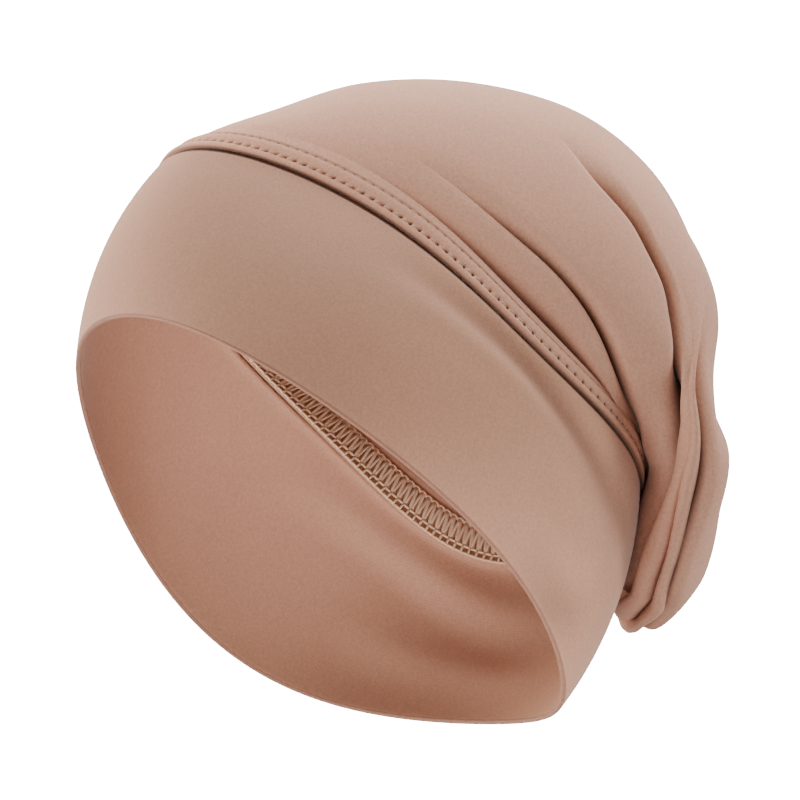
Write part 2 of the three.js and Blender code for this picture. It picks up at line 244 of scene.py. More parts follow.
def mirrored(turns):
    """Turns from 0 at the brow to 1 at the nape, and their sides, 1 for the left and -1 for the right."""
    return np.where(turns > 1, 2 - turns, turns), np.where(turns > 1, -1.0, 1.0)


def ring_point(ring, angle):
    """A point on a ring; angle 0 is the brow, a quarter turn the wearer's left."""
    forward = sum(size * np.cos((k + 1) * angle) for k, size in enumerate(ring["length"]))
    side = sum(size * np.sin((k + 1) * angle) for k, size in enumerate(ring["breadth"]))
    out = sum(size * np.cos((k + 2) * angle) for k, size in enumerate(ring["rise"]))
    tilt = math.radians(ring["tilt"])
    y = ring["y"] - forward * math.cos(tilt) + out * math.sin(tilt)
    z = ring["z"] + forward * math.sin(tilt) + out * math.cos(tilt)
    return np.stack([side, y, z], -1)


def arch_rows():
    """The arches with the first and last shrunk to the seam's own end points."""
    rows = [list(row) for row in ARCHES]
    for row in (rows[0], rows[-1]):
        row[1:3] = ring_point(SEAM, np.radians(float(row[0])))[1:]
    return rows


ARCH_ROWS = arch_rows()


def seam_angle(turn):
    return np.radians(along_table(ARCH_ROWS, turn)[..., 0])


def crown_point(along, across):
    """The unfolded crown: along 0 brow to 1 nape, across -1 right seam to 1 left seam."""
    edge_angle, y, z, out, rise, flat = np.moveaxis(along_table(ARCH_ROWS, along), -1, 0)
    edge = ring_point(SEAM, np.radians(edge_angle))
    a = 1 - np.abs(across)
    b0 = (1 - a) ** 3
    b1 = 3 * a * (1 - a) ** 2
    b2 = 3 * a * a * (1 - a)
    b3 = a**3
    half = b0 * edge[..., 0] + b1 * (edge[..., 0] + out) + b2 * flat
    lift = b1 * rise + b2 + b3
    return np.stack([
        half * np.sign(across),
        edge[..., 1] + (y - edge[..., 1]) * lift,
        edge[..., 2] + (z - edge[..., 2]) * lift,
    ], -1)


def disc_place(turn, ring):
    """Rings shrink from the seam, 1, to the bag's centre, 0. Gives the place on the crown."""
    u = ring * np.cos(np.pi * turn) + math.cos(math.pi * BAG_CENTRE) * (1 - ring)
    v = ring * np.sin(np.pi * turn)
    width = np.sqrt(np.maximum(1 - u * u, 1e-12))
    return np.arccos(np.clip(u, -1, 1)) / np.pi, np.clip(v / width, -1, 1)


def band_point(angle, v):
    """A point on the band's outer face before its folds; v is 0 at the rim and 1 at the seam."""
    angle, v = np.broadcast_arrays(np.asarray(angle, float), np.asarray(v, float))
    share = v[..., None]

    def place(at):
        return ring_point(RIM, at) * (1 - share) + ring_point(SEAM, at) * share

    up = ring_point(SEAM, angle) - ring_point(RIM, angle)
    normal = unit(np.cross(place(angle + 0.01) - place(angle - 0.01), up))
    return place(angle) + normal * BAND_BULGE * 4 * share * (1 - share)


class CrownLines:
    """Lines from the seam to the bag's centre, one for each turn from 0 to 2: straight across the
    ridge, in a curve away from it, and then over the unfolded crown."""

    STEPS = 240

    def __init__(self, turns):
        self.turns, self.side = mirrored(np.mod(np.asarray(turns, float), 2))
        ring = 1 - np.arange(self.STEPS + 1) / self.STEPS
        self.along, self.across = disc_place(self.turns[:, None], ring[None])
        self.points = crown_point(self.along, self.across)
        steps = np.linalg.norm(np.diff(self.points, axis=1), axis=2)
        self.length = np.concatenate([np.zeros((len(turns), 1)), np.cumsum(steps, axis=1)], 1)
        self.total = self.length[:, -1]
        self.angle = seam_angle(self.turns)
        self.seam = ring_point(SEAM, self.angle)
        width, reach = RIDGE_LINE["width"], RIDGE_LINE["reach"]

        def bag_at(distance):
            return self.on_bag(np.full((len(turns), 1), float(distance)))[:, 0]

        band_up = unit(self.seam - band_point(self.angle, 0.97))
        bag_up = unit(bag_at(width) - self.seam)
        start, end = math.radians(RIDGE_LINE["from"]), math.radians(RIDGE_LINE["to"])
        into_line = smooth(start, end, self.angle)
        up = unit(bag_up + (band_up - bag_up) * into_line[:, None])
        up[(self.turns == 0) | (self.turns == 1), 0] = 0
        self.ridge_up = up
        ridge_top = self.seam + up * width
        bag = bag_at(reach)
        bag_way = (bag_at(reach + 1) - bag_at(reach - 1)) / 2
        third = (reach - width) / 3
        round_way = ring_point(SEAM, self.angle + 0.01) - ring_point(SEAM, self.angle - 0.01)
        out = unit(np.cross(round_way, up))
        stand_off = RIDGE_LINE["loop"] * smooth(0.3, -0.7, (up * bag_way).sum(-1))[:, None]
        self.curve = (
            ridge_top,
            ridge_top + up * 0.8 * third + out * stand_off * 0.6,
            bag - bag_way * third + out * stand_off,
            bag,
        )

    def _read(self, distance, values):
        """Values kept along each line, read at distances from the seam."""
        return np.stack([
            np.stack([np.interp(d, length, row[:, k]) for k in range(row.shape[1])], -1)
            for d, length, row in zip(distance, self.length, values)
        ])

    def on_bag(self, distance):
        return self._read(distance, self.points)

    def cloth(self, distance):
        """The place on the crown's cloth, along and across, for the run of its knit."""
        place = self._read(distance, np.stack([self.along, self.across], -1))
        return place[..., 0], place[..., 1] * self.side[:, None]

    def at(self, distance):
        width, reach = RIDGE_LINE["width"], RIDGE_LINE["reach"]
        d = distance[..., None]
        straight = self.seam[:, None] + self.ridge_up[:, None] * d
        k = clamp01((d - width) / (reach - width))
        a, b, c, e = (point[:, None] for point in self.curve)
        curved = a * (1 - k) ** 3 + b * 3 * k * (1 - k) ** 2 + c * 3 * k * k * (1 - k) + e * k**3
        points = np.where(d <= width, straight, np.where(d < reach, curved, self.on_bag(distance)))
        points[..., 0] *= self.side[:, None]
        return points


def crown_base(turns, distance):
    """Points, outward normals and inward ways of the unfolded crown on a net of turns by distances."""
    turns = np.asarray(turns, float)
    step = 0.004
    lines = CrownLines(turns)
    points = lines.at(distance)
    across = CrownLines(turns + step).at(distance) - CrownLines(turns - step).at(distance)
    inward = unit(lines.at(distance + 0.4) - lines.at(np.maximum(distance - 0.4, 0)))
    return points, unit(np.cross(across, inward)), inward


def at_turns(rows, turns):
    """A smooth curve through a table's rows, whose first column is the turn."""
    table = np.asarray(rows, float)
    place, values = table[:, 0], table[:, 1:]
    slope = np.gradient(values, place, axis=0)
    i = np.clip(np.searchsorted(place, turns) - 1, 0, len(place) - 2)
    width = (place[i + 1] - place[i])[:, None]
    k = (turns - place[i])[:, None] / width
    return (
        values[i] * (1 + 2 * k) * (1 - k) ** 2 + slope[i] * width * k * (1 - k) ** 2
        + values[i + 1] * k * k * (3 - 2 * k) + slope[i + 1] * width * k * k * (k - 1)
    )


def half_turns(turns):
    """Turns from 0 at the brow to 1 at the nape on either side, slipped a little on the right, and
    how much of the right side's own changes each one has."""
    right = clamp01(-np.sin(np.pi * turns))
    half = mirrored(turns)[0]
    return clamp01(half - RIGHT_SIDE["slip"] * right * np.sin(np.pi * half)), right


def valleys_at(turns):
    """The valleys' inward, depth, near, far, lean and swell at each turn, valley by valley."""
    half, right = half_turns(turns)
    inward, depth, near, far, lean, swell = np.moveaxis(
        np.stack([at_turns(rows, half) for rows in VALLEYS.values()], 1), -1, 0
    )
    inward = inward * (1 + RIGHT_SIDE["inward"] * right)[:, None]
    depth = np.maximum(depth, 0) * (1 + RIGHT_SIDE["depth"] * right)[:, None]
    wider = (1 + RIGHT_SIDE["width"] * right)[:, None]
    gap = np.diff(inward, axis=1, prepend=RIDGE_LINE["width"])
    near = np.minimum(near * wider, np.maximum(FLANK_SHARE * gap, 0.6))
    # The notch holds back the crease before it only where it is itself deep
    notch = list(VALLEYS).index("notch under the bag")
    onward = gap[:, 1:].copy()
    onward[:, notch - 1] += gap[:, notch + 1] * (1 - smooth(0.5, 3, depth[:, notch]))
    far[:, :-1] = np.minimum(far[:, :-1] * wider, FLANK_SHARE * onward)
    return inward, depth, near, far, np.maximum(lean, 0), np.maximum(swell, 0)


def fold_moves(turns, distance):
    """How far the folds move the cloth out, along its inward way, and how deep it then lies in a
    valley, on a net of turns by distances."""
    inward, depth, near, far, lean, swell = valleys_at(turns)
    out = np.zeros_like(distance)
    sunk = np.zeros_like(distance)
    along = np.zeros_like(distance)
    for k, (softness, far_rise) in enumerate(FLANKS.values()):
        place, low = inward[:, k:k + 1], depth[:, k:k + 1]
        before = clamp01((place - distance) / near[:, k:k + 1])
        after = clamp01((distance - place) / far[:, k:k + 1])
        lip = np.sqrt(1 - (1 - before) ** 2)
        near_wall = (1 - softness) * (1 - lip) + softness * (1 - before) ** 2
        sunk += low * np.where(distance < place, near_wall, (1 - after) ** far_rise)
        along += lean[:, k:k + 1] * lip * (1 - smooth(0.45, 1.0, before))
        if k > 0:
            last_place = inward[:, k - 1:k]
            share = clamp01((distance - last_place) / (place - last_place))
            out += swell[:, k:k + 1] * np.sin(np.pi * share) ** 0.8
    half = half_turns(turns)[0]
    drape_at, height = at_turns(DRAPE, half).T[:, :, None]
    out += height * np.exp(-(((distance - drape_at) / DRAPE_WIDTH) ** 2))
    over, lift = at_turns(ROLL, half).T[:, :, None]
    first, second, third = (inward[:, k:k + 1] for k in range(3))
    rolled = smooth(RIDGE_LINE["width"] + 0.4, first + 3, distance)
    rolled = rolled * (1 - smooth(second, third, distance))
    return out - sunk + np.maximum(lift, 0) * rolled, along - np.maximum(over, 0) * rolled, sunk


# How much painted shade darkens the cloth's colour, from 0 to 1, at the seam, at a needle hole, along the
# groove of the second row and under the bag. A valley's painted shade goes from none to full between these
# two depths.
SEAM_SHADE = 0.7
HOLE_SHADE = 1.1
GROOVE_SHADE = 0.6
UNDER_BAG_SHADE = 0.7
VALLEY_SHADE_DEPTHS = (0.8, 6.5)


def cloth_shade(turns, distance, sunk):
    """The painted shade that darkens the cloth's colour on a net of turns by distances, from 0 to 1."""
    valley = smooth(*VALLEY_SHADE_DEPTHS, sunk)
    seam = SEAM_SHADE * np.exp(-((distance / 0.3) ** 2))
    holes = clamp01(HOLE_SHADE * needle_dimples(turns, distance))
    groove = GROOVE_SHADE * np.exp(-(((distance - SECOND_ROW) / 0.4) ** 2))
    half = half_turns(np.mod(turns, 2))[0][:, None]
    under_bag = UNDER_BAG_SHADE * smooth(0.74, 0.88, half) * (1 - smooth(12, 22, distance))
    under_bag = under_bag * smooth(8, 10, distance)
    return np.maximum.reduce([valley, seam, holes, groove, under_bag])


# Distances from the seam of the rows that are stitched, four times as finely divided as the rest
FINE_ROWS = np.array([
    0, 0.2, 0.5, 0.9, 1.4, 1.9, 2.3, 2.65, 3.0, 3.35, 3.7,
    4.2, 4.9, 5.6, 6.3, 6.8, 7.2, 7.5, 7.8, 8.2, 8.8, 9.6,
])
FINE = 4
AROUND = 320
# How often the net is evened out at the bag's bend, and how far each time
BEND_ROUNDS = 30
BEND_SHARE = 0.8
# One stitch of the topstitching, and the pits round its needle holes
NEEDLE_PITCH = 3.8
DIMPLES = [
    # row, width, depth
    (FIRST_ROW, 0.55, 1.2),
    (SECOND_ROW, 0.5, 0.35),
]


def coarse_distances(turns, total, counts):
    """Distances of the rows beyond the ridge, which crowd together at the valleys."""
    stops = [np.full(len(turns), FINE_ROWS[-1]), *valleys_at(turns)[0].T, total]
    rows = []
    for k, count in enumerate(counts):
        start, end = stops[k][:, None], stops[k + 1][:, None]
        share = np.arange(1, count + 1)[None] / count
        if k < len(counts) - 1:
            share = (1 - np.cos(np.pi * share)) / 2
        else:
            share = share**1.5
        rows.append(start + (end - start) * share)
    return np.concatenate(rows, 1)[:, :-1]


def ridge_height(distance):
    at, height = np.array(RIDGE).T
    return np.interp(distance, at, height)


def seam_metres(turns):
    """Length round the seam to each turn, in mm, and its whole length."""
    fine = np.linspace(0, 2, 2001)
    half, side = mirrored(fine)
    points = ring_point(SEAM, seam_angle(half))
    points[:, 0] *= side
    length = np.concatenate([[0], np.cumsum(np.linalg.norm(np.diff(points, axis=0), axis=1))])
    return np.interp(turns, fine, length), length[-1]


def crown_surface(turns, distance):
    """The folded crown's outer face, with its outward normals before folding and its painted shade."""
    points, normals, inward = crown_base(turns, distance)
    out, along, sunk = fold_moves(np.mod(turns, 2), distance)
    start = smooth(*FOLDS_BEGIN, distance)
    height = out * start + ridge_height(distance)
    shade = cloth_shade(turns, distance, sunk)
    moved = points + normals * height[..., None] + inward * (along * start)[..., None]
    return moved, normals, shade


def relax_bend(points, turns, distance):
    """Evens out the net where the bag bends back under itself, so that it turns in one soft roll."""
    half = half_turns(np.mod(turns, 2))[0][:, None]
    bend = smooth(0.4, 0.55, half) * (1 - smooth(0.9, 0.97, half))
    hold = bend * smooth(10.5, 13, distance) * (1 - smooth(34, 60, distance)) * BEND_SHARE
    for _ in range(BEND_ROUNDS):
        round_way = (np.roll(points, 1, 0) + np.roll(points, -1, 0)) / 2 - points
        points = points + round_way * hold[..., None]
    return points


def ridge_ways():
    """The ridge's upward way at fine steps of turn, which places on it are read from."""
    turns = np.linspace(0, 1, 601)
    return turns, CrownLines(turns).ridge_up


RIDGE_TURNS, RIDGE_WAYS = ridge_ways()


def on_seam(turns):
    """Points of the seam and the ridge's upward way there, at any turns."""
    half, side = mirrored(np.mod(turns, 2))
    seam = ring_point(SEAM, seam_angle(half))
    way = unit(np.stack([np.interp(half, RIDGE_TURNS, RIDGE_WAYS[:, k]) for k in range(3)], -1))
    seam[..., 0] *= side
    way[..., 0] *= side
    return seam, way


def ridge_base(turns, distance):
    """Points and outward normals on the ridge before it is padded, up to its width."""
    step = 0.002
    seam, way = on_seam(turns)
    normal = unit(np.cross(on_seam(turns + step)[0] - on_seam(turns - step)[0], way))
    return seam + way * distance[..., None], normal


def needle_dimples(turns, distance):
    """Small pits round each needle hole of the two stitched rows."""
    length, whole = seam_metres(turns)
    stitches = round(whole / NEEDLE_PITCH)
    phase = np.cos(2 * np.pi * stitches * length / whole)[:, None]
    pits = sum(depth * np.exp(-(((distance - row) / width) ** 2)) for row, width, depth in DIMPLES)
    return clamp01(phase) ** 3 * pits


def net_normals(points, closed):
    """Normals of a net of columns by rows, smooth round the columns."""
    if closed:
        round_way = np.roll(points, -1, 0) - np.roll(points, 1, 0)
    else:
        round_way = np.gradient(points, axis=0)
    return unit(np.cross(round_way, np.gradient(points, axis=1)))


class Body:
    """A mesh as it grows: points in mm, faces, and for each point its place on the cloth in mm."""

    def __init__(self):
        self.points = []
        self.cloth = []
        self.shade = []
        self.faces = []
        self.count = 0

    def add(self, points, cloth=None, shade=None):
        flat = points.reshape(-1, 3)
        start = self.count
        self.points.append(flat)
        self.cloth.append(np.zeros((len(flat), 2)) if cloth is None else cloth.reshape(-1, 2))
        self.shade.append(np.zeros(len(flat)) if shade is None else shade.ravel())
        self.count += len(flat)
        return start + np.arange(len(flat)).reshape(points.shape[:-1])

    def join(self, index, closed, flip=False):
        """Quads over a net of point numbers."""
        near, far = (index, np.roll(index, -1, 0)) if closed else (index[:-1], index[1:])
        quads = np.stack([near[:, :-1], far[:, :-1], far[:, 1:], near[:, 1:]], -1).reshape(-1, 4)
        self.faces += (quads[:, ::-1] if flip else quads).tolist()

    def piece(self, name, material):
        mesh = bpy.data.meshes.new(name)
        mesh.from_pydata((np.concatenate(self.points) * MM).tolist(), [], self.faces)
        mesh.update()
        cloth = np.concatenate(self.cloth) * MM
        corner = np.empty(len(mesh.loops), np.int32)
        mesh.loops.foreach_get("vertex_index", corner)
        layer = mesh.uv_layers.new(name="cloth")
        layer.data.foreach_set("uv", cloth[corner].astype(np.float32).ravel())
        # Painted shade, which darkens the jersey's colour in folds, creases and hollows
        shade = mesh.attributes.new("shade", "FLOAT", "POINT")
        shade.data.foreach_set("value", np.concatenate(self.shade).astype(np.float32))
        mesh.polygons.foreach_set("use_smooth", [True] * len(mesh.polygons))
        mesh.materials.append(material)
        obj = bpy.data.objects.new(name, mesh)
        bpy.context.scene.collection.objects.link(obj)
        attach(obj, "root")
        return obj


# Colours as sRGB hex values
def colour(code):
    def linear(channel):
        value = int(code[channel:channel + 2], 16) / 255
        return value / 12.92 if value <= 0.04045 else ((value + 0.055) / 1.055) ** 2.4

    return (linear(1), linear(3), linear(5), 1.0)


def node(tree, kind, links=None, **settings):
    """Adds a node with its settings; links give an input the output of another node or a value."""
    made = tree.nodes.new(kind)
    for name, value in settings.items():
        setattr(made, name, value)
    for name, value in (links or {}).items():
        socket = made.inputs[name]
        if isinstance(value, bpy.types.NodeSocket):
            tree.links.new(value, socket)
        else:
            socket.default_value = value
    return made


def maths(tree, operation, first, second=0.5):
    return node(tree, "ShaderNodeMath", {0: first, 1: second}, operation=operation).outputs[0]


def noise(tree, size, detail, roughness):
    """Noise over the piece, whose features are about this size in mm."""
    place = node(tree, "ShaderNodeTexCoord").outputs["Object"]
    links = {"Vector": place, "Scale": 1 / (size * MM), "Detail": detail, "Roughness": roughness}
    return node(tree, "ShaderNodeTexNoise", links).outputs["Fac"]


def colour_mix(tree, share, first, second, blend="MIX"):
    """A mix of two colours; the node takes them at its inputs 6 and 7 and gives its output 2."""
    links = {"Factor": share, 6: first, 7: second}
    return node(tree, "ShaderNodeMix", links, data_type="RGBA", blend_type=blend).outputs[2]


def bumped(tree, height, strength, distance):
    """A normal that shows a height, with distance in mm."""
    links = {"Height": height, "Strength": strength, "Distance": distance * MM}
    return node(tree, "ShaderNodeBump", links).outputs["Normal"]


def new_material(name):
    material = bpy.data.materials.new(name)
    material.use_nodes = True
    tree = material.node_tree
    shader = tree.nodes["Principled BSDF"]
    return material, tree, shader


# Brushed nylon and elastane jersey is matt, with a soft bloom of light along its turned edges.
# Its wales are 0.5 mm apart, drawn at 0.8 mm so that they show as a fine grain, over a fibre grain
# and a slow cloud of a little lighter and darker cloth. The fold colour is the share of it that painted
# shade leaves in a fold.
WALE = 0.8
FIBRE_GRAIN = 0.9
CLOTH_CLOUD = 45
# Painted shade: the colour that the cloth is darkened towards in folds, creases and other hollows
PAINTED_SHADE_COLOUR = "#77584f"
SHEEN_TINT = "#f2ddcf"
WHITE = "#ffffff"


def brushed_jersey(name, light, dark, sheen):
    material, tree, shader = new_material(name)
    cloth = node(tree, "ShaderNodeUVMap", uv_map="cloth")
    split = node(tree, "ShaderNodeSeparateXYZ", {"Vector": cloth.outputs["UV"]})
    turn = 2 * math.pi / (WALE * MM)
    wale = maths(tree, "SINE", maths(tree, "MULTIPLY", split.outputs["X"], turn))
    course = maths(tree, "SINE", maths(tree, "MULTIPLY", split.outputs["Y"], turn * 0.8))
    fibre = noise(tree, FIBRE_GRAIN, 2.0, 0.6)
    cloud = noise(tree, CLOTH_CLOUD, 3.0, 0.5)
    grain = node(
        tree, "ShaderNodeMapRange",
        {"Value": fibre, "From Min": 0.3, "From Max": 0.7, "To Min": 0.88, "To Max": 1.08},
    )
    shade = node(tree, "ShaderNodeAttribute", attribute_name="shade")
    plain = colour_mix(tree, cloud, colour(dark), colour(light))
    grained = colour_mix(tree, 1.0, plain, grain.outputs["Result"], "MULTIPLY")
    # Painted shade: the colour is multiplied towards the fold colour where the shade attribute is high
    folded = colour_mix(tree, shade.outputs["Fac"], colour(WHITE), colour(PAINTED_SHADE_COLOUR))
    shaded = colour_mix(tree, 1.0, grained, folded, "MULTIPLY")
    knit = maths(tree, "MULTIPLY", maths(tree, "ADD", wale, course), 0.25)
    normal = bumped(tree, maths(tree, "ADD", knit, fibre), 0.22, 0.12)
    tree.links.new(shaded, shader.inputs["Base Color"])
    tree.links.new(normal, shader.inputs["Normal"])
    shader.inputs["Roughness"].default_value = 0.82
    shader.inputs["Specular IOR Level"].default_value = 0.25
    shader.inputs["Sheen Weight"].default_value = sheen
    shader.inputs["Sheen Roughness"].default_value = 0.45
    shader.inputs["Sheen Tint"].default_value = colour(SHEEN_TINT)
    return material


# Spun polyester thread is a little lighter and glossier than the jersey, with a stronger fibre grain
def polyester_thread(name, light, dark):
    material, tree, shader = new_material(name)
    fibre = noise(tree, FIBRE_GRAIN, 3.0, 0.65)
    tree.links.new(colour_mix(tree, fibre, colour(dark), colour(light)), shader.inputs["Base Color"])
    tree.links.new(bumped(tree, fibre, 0.4, 0.1), shader.inputs["Normal"])
    shader.inputs["Roughness"].default_value = 0.6
    shader.inputs["Specular IOR Level"].default_value = 0.4
    shader.inputs["Sheen Weight"].default_value = 0.3
    shader.inputs["Sheen Roughness"].default_value = 0.4
    return material


# The band and the crown are one jersey in two tones: the band's darker colour is painted shade, as it faces
# down away from the light from above
BAND_JERSEY = brushed_jersey("brushed nylon-elastane jersey, band", "#bd8a6e", "#b27f63", 0.2)
CROWN_JERSEY = brushed_jersey("brushed nylon-elastane jersey, crown", "#d59e83", "#c9947a", 0.2)
STITCH_THREAD = polyester_thread("spun polyester topstitch thread", "#d3a284", "#b98768")
OVERLOCK_THREAD = polyester_thread("textured polyester overlock thread", "#dfb896", "#c19a78")
OVERLOCK_CLOTH = brushed_jersey("brushed nylon-elastane jersey, cut edges", "#bb8a68", "#ab7a5a", 0.2)


def crown_cloth_place(lines, distance):
    """Where each point lies on the crown's flat cloth, in mm, so that the wales run brow to nape."""
    along, across = lines.cloth(distance)
    samples = np.linspace(0, 1, 121)
    arcs = crown_point(samples[:, None], np.linspace(0, 1, 41)[None])
    half_width = np.linalg.norm(np.diff(arcs, axis=1), axis=2).sum(1)
    middle = crown_point(samples, np.zeros_like(samples))
    length = np.concatenate([[0], np.cumsum(np.linalg.norm(np.diff(middle, axis=0), axis=1))])
    sideways = across * np.interp(along, samples, half_width)
    return np.stack([sideways, np.interp(along, samples, length)], -1)


# Rows of cloth from the ridge to the first valley, from valley to valley, and on to the bag's centre
OUTER_ROWS = (8, 14, 30, 11, 11, 52)
INNER_ROWS = (3, 5, 10, 4, 4, 20)


def make_crown():
    """A loose bag of single jersey, with the rolled and stitched ridge at its edge."""
    turns = np.arange(AROUND) * 2 / AROUND
    fine_turns = np.arange(AROUND * FINE) * 2 / (AROUND * FINE)
    fine_distance = np.repeat(FINE_ROWS[None], len(fine_turns), 0)
    fine, fine_normals, fine_shade = crown_surface(fine_turns, fine_distance)
    fine = fine - fine_normals * needle_dimples(fine_turns, fine_distance)[..., None]
    lines = CrownLines(turns)
    distance = coarse_distances(turns, lines.total, OUTER_ROWS)
    outer, _, shade = crown_surface(turns, distance)
    outer = relax_bend(outer, turns, distance)
    centre = crown_point(np.array(BAG_CENTRE), np.array(0.0))[None]
    sparse = coarse_distances(turns, lines.total, INNER_ROWS)
    inner = relax_bend(crown_surface(turns, sparse)[0], turns, sparse)
    inner = inner - net_normals(inner, True) * CROWN_CLOTH
    fine_inner = fine[:, :1] - fine_normals[:, :1] * CROWN_CLOTH

    body = Body()
    fine_lines = CrownLines(fine_turns)
    fine_index = body.add(fine, crown_cloth_place(fine_lines, fine_distance), fine_shade)
    outer_index = body.add(outer, crown_cloth_place(lines, distance), shade)
    inner_index = body.add(inner, crown_cloth_place(lines, sparse))
    edge_index = body.add(fine_inner, crown_cloth_place(fine_lines, fine_distance[:, :1]))
    body.join(fine_index, True)
    body.join(outer_index, True)
    body.join(inner_index, True, flip=True)
    body.join(np.concatenate([edge_index, fine_index[:, :1]], 1), True)

    def knit_together(fine_row, coarse_row, flip):
        for i in range(AROUND):
            k = (i + 1) % AROUND
            few = [int(fine_row[(i * FINE + m) % len(fine_row)]) for m in range(FINE + 1)]
            a, b = int(coarse_row[i]), int(coarse_row[k])
            half = FINE // 2
            faces = [[few[m], few[m + 1], a] for m in range(half)]
            faces.append([few[half], b, a])
            faces += [[few[m], few[m + 1], b] for m in range(half, FINE)]
            body.faces.extend([face[::-1] for face in faces] if flip else faces)

    knit_together(fine_index[:, -1], outer_index[:, 0], False)
    knit_together(edge_index[:, 0], inner_index[:, 0], True)
    for index, depth, flip in ((outer_index, 0.0, False), (inner_index, CROWN_CLOTH, True)):
        last = index[:, -1]
        ring = np.concatenate(body.points)[last]
        middle = ring.mean(0) * 0.5 + centre[0] * 0.5
        normal = unit(np.cross(ring[0] - middle, ring[AROUND // 4] - middle))
        tip = int(body.add((middle - normal * depth)[None])[0])
        for i in range(AROUND):
            face = [int(last[i]), int(last[(i + 1) % AROUND]), tip]
            body.faces.append(face[::-1] if flip else face)
    return body.piece("crown_jersey", CROWN_JERSEY)


crown = make_crown()
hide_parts("crown")


# Soft folds of the band, as a line of stations: angle round the head, distance below the seam,
# depth and width in mm. Positive depth is a hollow seen from outside.
BAND_FOLDS = {
    # angle, below, depth, width
    "below the seam, left": [
        (78, 17, 0, 7), (94, 14, 0.9, 6), (110, 10.5, 1.7, 5.5), (122, 10.5, 2.1, 5.5),
        (136, 14.5, 2.0, 6), (148, 21, 1.2, 7), (160, 30, 0, 9),
    ],
    "below the seam, right": [
        (-76, 15, 0, 7), (-95, 12, 0.8, 6), (-112, 11, 1.5, 6), (-126, 14, 1.8, 6.5),
        (-142, 21, 1.5, 8), (-156, 30, 0, 9),
    ],
    "low on the nape, left": [
        (126, 58, 0, 10), (145, 62, 1.4, 9), (160, 58, 0, 10),
    ],
    "low on the nape, right": [
        (-96, 42, 0, 9), (-112, 43, 1.0, 8), (-129, 44, 1.3, 8), (-145, 49, 1.2, 9), (-160, 52, 0, 10),
    ],
}


def band_folds(points):
    """How far the folds move the band's cloth out, and the painted shade in their hollows."""
    moves = np.zeros(points.shape[:-1])
    shade = np.zeros(points.shape[:-1])
    flat = points.reshape(-1, 3)
    for rows in BAND_FOLDS.values():
        table = along_table(rows, np.linspace(0, 1, 80))
        angle = np.radians(table[:, 0])
        height = np.linalg.norm(ring_point(SEAM, angle) - ring_point(RIM, angle), axis=1)
        at = band_point(angle, 1 - table[:, 1] / height)
        gap = ((flat[:, None] - at[None]) ** 2).sum(-1)
        i = np.argmin(gap, 1)
        depth, width = table[i, 2], table[i, 3]
        reach = gap[np.arange(len(flat)), i] / width**2
        hollow = np.exp(-reach) - 0.35 * np.exp(-((np.sqrt(reach) - 1.9) ** 2) / 0.8)
        moves -= (np.maximum(depth, 0) * hollow).reshape(moves.shape)
        shade += (np.maximum(depth, 0) * np.exp(-1.6 * reach)).reshape(moves.shape) * 0.2
    return moves, clamp01(shade)


BAND_TURNS = 420
BAND_ROWS = 56
RIM_STEPS = 9
# Painted shade along the band's rolled rim
RIM_SHADE = 0.6
# How far the band's top edge goes in under the crown's ridge
TUCK = 0.8


def make_band():
    """Two layers of jersey folded at the rim; the top edge is tucked under the crown's ridge."""
    angle = np.arange(BAND_TURNS) * 2 * np.pi / BAND_TURNS
    height = np.linalg.norm(ring_point(SEAM, angle) - ring_point(RIM, angle), axis=1)[:, None]
    thick = BAND_CLOTH / 2
    up = 1 - np.linspace(0, 1, BAND_ROWS)
    outer_v = up + (1 - up) * thick / height
    turn = np.linspace(0, np.pi, RIM_STEPS + 2)[None, 1:-1]
    rim_v = thick * (1 - np.sin(turn)) / height
    inner_v = outer_v[:, ::-1]
    v = np.concatenate([outer_v, rim_v, inner_v], 1)
    inward = np.concatenate([
        np.zeros_like(outer_v),
        thick * (1 - np.cos(turn)) * np.ones_like(height),
        np.full_like(inner_v, BAND_CLOTH),
    ], 1)
    top = np.concatenate([np.ones_like(outer_v), np.zeros_like(rim_v), np.ones_like(inner_v)], 1)
    tucked = top * smooth(0.965, 1.0, v) * TUCK
    around = np.repeat(angle[:, None], v.shape[1], 1)
    base = band_point(around, v)
    e = 0.01
    normal = unit(np.cross(
        band_point(around + e, v) - band_point(around - e, v),
        band_point(around, v + e) - band_point(around, v - e),
    ))
    moves, shade = band_folds(base)
    lift = moves * smooth(0, 0.06, v) * smooth(1.0, 0.94, v)
    # Painted shade: none on the inner layer, some along the rolled rim, and full on the top rows tucked
    # under the crown's ridge
    shade = np.where(inward > 0, 0, shade)
    shade[:, BAND_ROWS:BAND_ROWS + RIM_STEPS] = RIM_SHADE
    shade[:, :2] = 1
    points = base + normal * (lift - inward - tucked)[..., None]
    round_mm = np.concatenate([[0], np.cumsum(np.linalg.norm(np.diff(base[:, 0], axis=0), axis=1))])
    cloth = np.stack([np.repeat(round_mm[:, None], v.shape[1], 1), v * height], -1)
    body = Body()
    index = body.add(points, cloth, shade)
    body.join(index, True, flip=True)
    body.join(np.stack([index[:, -1], index[:, 0]], -1), True, flip=True)
    return body.piece("band_jersey", BAND_JERSEY)


band = make_band()
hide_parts("band")


